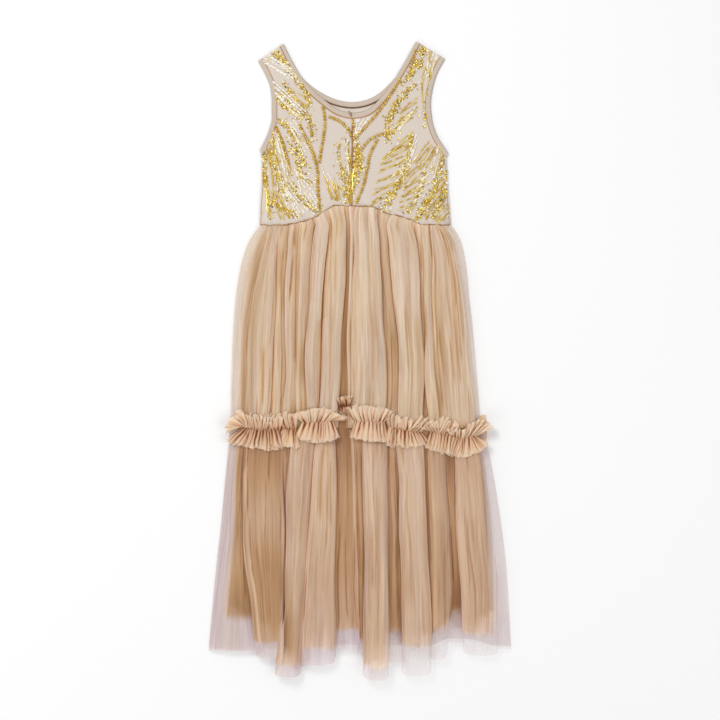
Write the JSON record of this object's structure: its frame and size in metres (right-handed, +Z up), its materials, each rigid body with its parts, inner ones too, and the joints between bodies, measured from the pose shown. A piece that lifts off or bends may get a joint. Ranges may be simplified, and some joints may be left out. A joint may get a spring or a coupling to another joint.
{
  "type": "sleeveless tulle sundress",
  "caption": "Girl's sleeveless empire-line sundress laid flat, with a beaded bodice, bound neck and armholes, and a long gathered tulle skirt with a ruffle.",
  "frame": {"origin": "middle of the surface that the dress lies on, under the centre of its outline", "axes": "+X to the right of the dress's front as it is looked at, +Y from the hem towards the shoulders, +Z up from the surface through the front"},
  "size_m": [0.484, 1.02, 0.0342],
  "materials": {
    "tulle": "sheer soft tulle, golden tan, paler where it lies single",
    "inner_tulle": "sheer soft tulle, tan",
    "lining": "light satin, tan",
    "bodice": "beige mesh over a beige backing, with gold sequins and beads",
    "binding": "soft beige knit binding"
  },
  "bodies": {
    "root": {"bodice_back": "bodice", "bodice_front_left": "bodice", "bodice_front_right": "bodice", "neck_binding_back": "binding", "neck_binding_front": "binding", "armhole_binding_left_back": "binding", "armhole_binding_left_front": "binding", "armhole_binding_right_back": "binding", "armhole_binding_right_front": "binding", "skirt_upper_back": "tulle", "skirt_upper_front": "tulle", "skirt_lower_back": "tulle", "skirt_lower_front": "tulle", "ruffle_back": "tulle", "ruffle_front": "tulle", "underskirt_back": "inner_tulle", "underskirt_front": "inner_tulle", "lining_back": "lining", "lining_front": "lining"}
  },
  "joints": []
}
